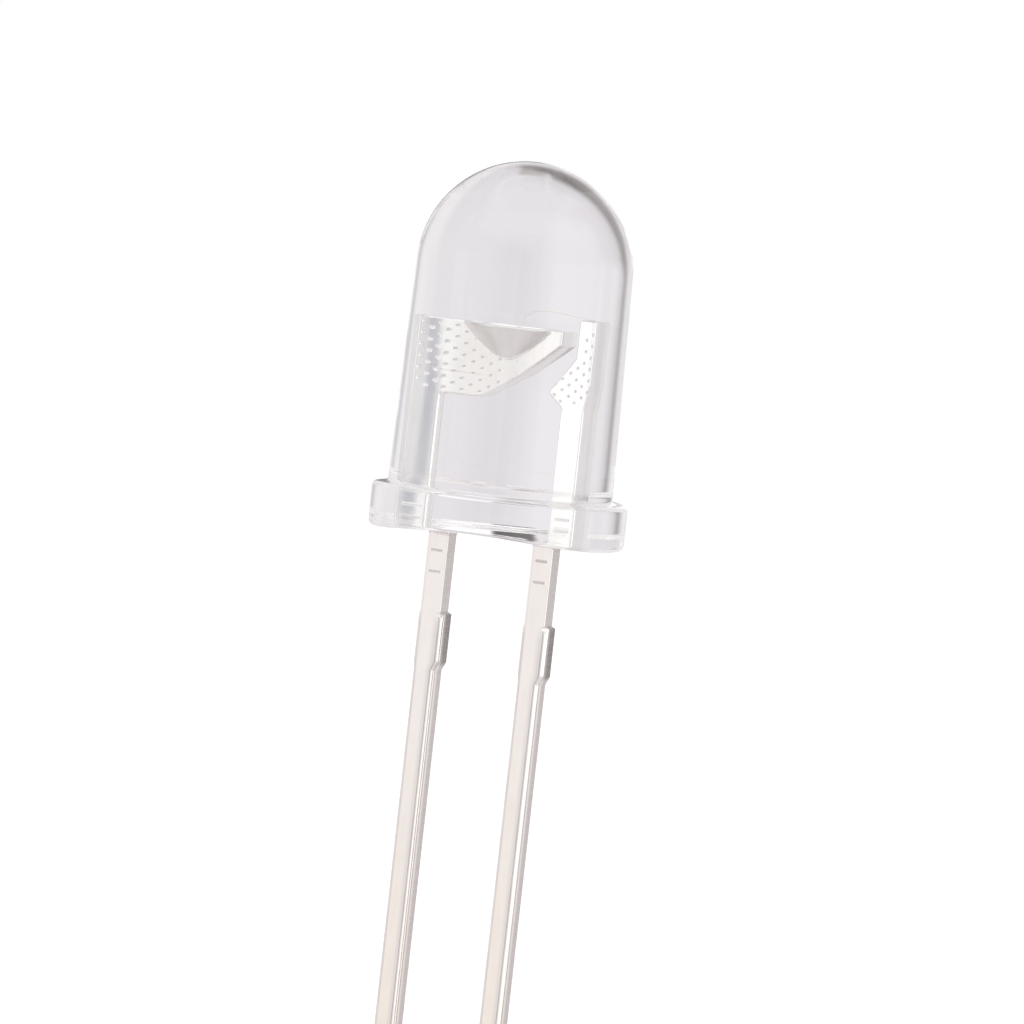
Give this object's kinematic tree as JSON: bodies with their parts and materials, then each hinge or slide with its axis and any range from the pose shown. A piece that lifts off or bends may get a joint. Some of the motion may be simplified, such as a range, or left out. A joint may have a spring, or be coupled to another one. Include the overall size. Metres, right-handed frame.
{
  "type": "through hole led",
  "caption": "Water-clear round through hole LED: domed epoxy lens with flange and polarity flat, stamped anvil with reflector cup, bonding post and long square leads.",
  "frame": {"origin": "centre of the seating plane under the flange, on the optical axis", "axes": "+Z along the optical axis towards the top of the dome, +X towards the anode lead, -X towards the cathode lead and the polarity flat"},
  "size_m": [0.0055, 0.0058, 0.0356],
  "materials": {
    "clear_epoxy": "clear, polished by the mould",
    "silver_plated_lead": "bright silver plating, tinned outside the lens",
    "conductive_adhesive": "satin",
    "die": "polished crystal",
    "gold_wire": "bright"
  },
  "bodies": {
    "root": {"epoxy_lens": "clear_epoxy", "cathode_lead": "silver_plated_lead", "anode_lead": "silver_plated_lead", "die_attach": "conductive_adhesive", "led_chip": "die", "bond_wire": "gold_wire"}
  },
  "joints": []
}
